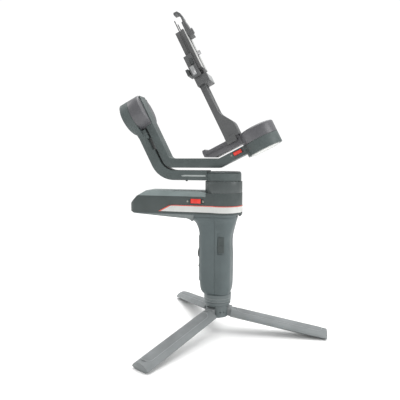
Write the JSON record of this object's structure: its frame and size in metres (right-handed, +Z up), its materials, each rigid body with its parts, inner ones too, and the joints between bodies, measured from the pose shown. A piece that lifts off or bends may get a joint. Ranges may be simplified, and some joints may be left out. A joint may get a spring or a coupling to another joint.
{
  "type": "camera gimbal",
  "caption": "Handheld three-axis camera stabiliser with a cranked pan arm, a sliding roll arm, a tilt rail with a camera plate, and a folding table tripod.",
  "frame": {"origin": "on the floor, on the tripod's vertical axis", "axes": "+Z up, +X forward towards the trigger side of the grip, +Y to the left of the grip"},
  "size_m": [0.3093, 0.2854, 0.4665],
  "materials": {
    "housing": "fine matte charcoal",
    "handle": "satin soft-touch grey",
    "strip": "light satin grey",
    "red": "glossy red",
    "arm": "fine textured dark paint",
    "motor": "satin dark paint",
    "bracket": "satin dark anodised",
    "plate": "bead blasted",
    "steel": "turned",
    "brass": "turned",
    "copper": "wound core",
    "board": "printed board",
    "cell": "wrapped cells",
    "rubber": "moulded rubber",
    "screen": "dark window",
    "tripod": "satin grey"
  },
  "bodies": {
    "grip": {"head_housing": "housing", "underside_cover": "handle", "grip_shell": "handle", "side_strip": "strip", "control_panel": "housing", "display_window": "screen", "control_board": "board", "main_board": "board", "battery_cells": "cell", "battery_contacts": "brass", "door_hinge_pin": "steel", "pan_motor_base": "motor", "pan_stator": "copper", "pan_bearings": "steel", "usb_port": "steel", "thread_inserts": "brass", "housing_screws": "steel"},
    "battery_door": {"battery_door": "handle"},
    "door_latch": {"door_latch": "housing"},
    "pan_lock": {"pan_lock_slider": "red"},
    "trigger": {"trigger": "housing"},
    "joystick_ring": {"joystick_ring": "housing"},
    "joystick": {"joystick": "rubber"},
    "record_button": {"record_button": "red"},
    "menu_button": {"menu_button": "rubber"},
    "mode_button": {"mode_button": "rubber"},
    "zoom_rocker": {"zoom_rocker": "rubber"},
    "focus_wheel": {"focus_wheel": "rubber"},
    "tripod": {"tripod_hub": "tripod", "tripod_collar": "tripod", "leg_pins": "steel"},
    "leg_right": {"tripod_leg_right": "tripod"},
    "leg_back": {"tripod_leg_back": "tripod"},
    "leg_front": {"tripod_leg_front": "tripod"},
    "pan": {"pan_arm": "arm", "pan_top_cap": "arm", "pan_rotor_bell": "steel", "roll_stator": "copper", "roll_bearings": "steel", "roll_back_cap": "motor"},
    "roll_head": {"roll_head": "motor", "roll_rotor_bell": "steel"},
    "roll_clamp": {"roll_clamp_lever": "housing"},
    "roll_lock": {"roll_lock_slider": "red"},
    "roll_arm": {"roll_arm": "arm", "tilt_base_cap": "strip", "tilt_stator": "copper", "tilt_bearings": "steel"},
    "tilt_lock": {"tilt_lock_slider": "red"},
    "tilt_head": {"tilt_head": "motor", "tilt_top_cap": "motor", "tilt_rotor_bell": "steel"},
    "bracket": {"upright_bracket": "bracket", "camera_base": "bracket"},
    "bracket_lever": {"bracket_lever": "housing"},
    "base_lever": {"base_lever": "housing"},
    "plate_release": {"plate_release": "housing"},
    "plate": {"qr_plate": "plate"},
    "camera_screw": {"camera_screw": "steel"},
    "camera_stop": {"camera_stop": "bracket"}
  },
  "joints": [
    {"name": "tripod_turn", "type": "hinge", "parent": "grip", "child": "tripod", "pos_m": [0, 0, 0.05], "axis": [0, 0, 1], "continuous": true},
    {"name": "leg_right_fold", "type": "hinge", "parent": "tripod", "child": "leg_right", "pos_m": [0.01092, 0.00134, 0.033], "axis": [-0.1219, 0.9925, 0], "range_deg": [0, 79]},
    {"name": "leg_back_fold", "type": "hinge", "parent": "tripod", "child": "leg_back", "pos_m": [-0.00662, 0.00878, 0.033], "axis": [-0.7986, -0.6018, 0], "range_deg": [0, 79]},
    {"name": "leg_front_fold", "type": "hinge", "parent": "tripod", "child": "leg_front", "pos_m": [-0.0043, -0.01013, 0.033], "axis": [0.9205, -0.3907, 0], "range_deg": [0, 79]},
    {"name": "battery_door_hinge", "type": "hinge", "parent": "grip", "child": "battery_door", "pos_m": [0, 0.0226, 0.114], "axis": [0, 0, 1], "range_deg": [0, 110]},
    {"name": "door_latch_slide", "type": "slide", "parent": "battery_door", "child": "door_latch", "axis": [0, 0, 1], "range_m": [0, 0.004]},
    {"name": "pan_lock_slide", "type": "slide", "parent": "grip", "child": "pan_lock", "axis": [1, 0, 0], "range_m": [0, 0.004]},
    {"name": "trigger_pull", "type": "hinge", "parent": "grip", "child": "trigger", "pos_m": [0.031, 0, 0.1802], "axis": [0, 1, 0], "range_deg": [0, 10], "stiffness_Nm_per_rad": 0.05},
    {"name": "joystick_up_down", "type": "hinge", "parent": "grip", "child": "joystick_ring", "pos_m": [-0.0216, 0, 0.118], "axis": [0, 1, 0], "range_deg": [-12, 12], "stiffness_Nm_per_rad": 0.02},
    {"name": "joystick_left_right", "type": "hinge", "parent": "joystick_ring", "child": "joystick", "pos_m": [-0.0216, 0, 0.118], "axis": [0, 0, 1], "range_deg": [-12, 12], "stiffness_Nm_per_rad": 0.02},
    {"name": "record_press", "type": "slide", "parent": "grip", "child": "record_button", "axis": [1, 0, 0], "range_m": [0, 0.0008], "stiffness_N_per_m": 120},
    {"name": "menu_press", "type": "slide", "parent": "grip", "child": "menu_button", "axis": [1, 0, 0], "range_m": [0, 0.0008], "stiffness_N_per_m": 120},
    {"name": "mode_press", "type": "slide", "parent": "grip", "child": "mode_button", "axis": [1, 0, 0], "range_m": [0, 0.0008], "stiffness_N_per_m": 120},
    {"name": "zoom_rock", "type": "hinge", "parent": "grip", "child": "zoom_rocker", "pos_m": [-0.0232, 0, 0.0865], "axis": [0, 1, 0], "range_deg": [-4, 4], "stiffness_Nm_per_rad": 0.05},
    {"name": "focus_wheel_turn", "type": "hinge", "parent": "grip", "child": "focus_wheel", "pos_m": [-0.012, 0.024, 0.157], "axis": [0, 1, 0], "continuous": true},
    {"name": "pan_turn", "type": "hinge", "parent": "grip", "child": "pan", "pos_m": [0.0087, 0, 0.225], "axis": [0, 0, 1], "continuous": true},
    {"name": "roll_turn", "type": "hinge", "parent": "pan", "child": "roll_head", "pos_m": [-0.11648, 0, 0.32651], "axis": [0.8942, 0, 0.4478], "range_deg": [-160, 160]},
    {"name": "roll_arm_slide", "type": "slide", "parent": "roll_head", "child": "roll_arm", "axis": [-0.4478, 0, 0.8942], "range_m": [0, 0.03]},
    {"name": "roll_clamp_turn", "type": "hinge", "parent": "roll_head", "child": "roll_clamp", "pos_m": [-0.11648, 0.028, 0.33099], "axis": [0, 1, 0], "range_deg": [0, 90]},
    {"name": "roll_lock_slide", "type": "slide", "parent": "roll_head", "child": "roll_lock", "axis": [0.8942, 0, 0.4478], "range_m": [0, 0.002]},
    {"name": "tilt_turn", "type": "hinge", "parent": "roll_arm", "child": "tilt_head", "pos_m": [0.05795, 0, 0.29084], "axis": [-0.4478, 0, 0.8942], "range_deg": [-150, 150]},
    {"name": "tilt_lock_slide", "type": "slide", "parent": "roll_arm", "child": "tilt_lock", "axis": [0.8942, 0, 0.4478], "range_m": [0, 0.002]},
    {"name": "bracket_slide", "type": "slide", "parent": "tilt_head", "child": "bracket", "axis": [0.8942, 0, 0.4478], "range_m": [-0.03, 0]},
    {"name": "bracket_lever_turn", "type": "hinge", "parent": "bracket", "child": "bracket_lever", "pos_m": [0.02442, 0.015, 0.28411], "axis": [0, 1, 0], "range_deg": [0, 90]},
    {"name": "base_lever_turn", "type": "hinge", "parent": "bracket", "child": "base_lever", "pos_m": [-0.03825, 0, 0.37799], "axis": [0.8942, 0, 0.4478], "range_deg": [0, 90]},
    {"name": "plate_release_press", "type": "slide", "parent": "bracket", "child": "plate_release", "axis": [0, 1, 0], "range_m": [0, 0.0015], "stiffness_N_per_m": 120},
    {"name": "plate_slide", "type": "slide", "parent": "bracket", "child": "plate", "axis": [-0.4478, 0, 0.8942], "range_m": [-0.008, 0.025]},
    {"name": "camera_screw_turn", "type": "hinge", "parent": "plate", "child": "camera_screw", "pos_m": [-0.03335, 0, 0.40617], "axis": [0.8942, 0, 0.4478], "continuous": true},
    {"name": "camera_stop_slide", "type": "slide", "parent": "plate", "child": "camera_stop", "axis": [-0.4478, 0, 0.8942], "range_m": [-0.01, 0]}
  ]
}
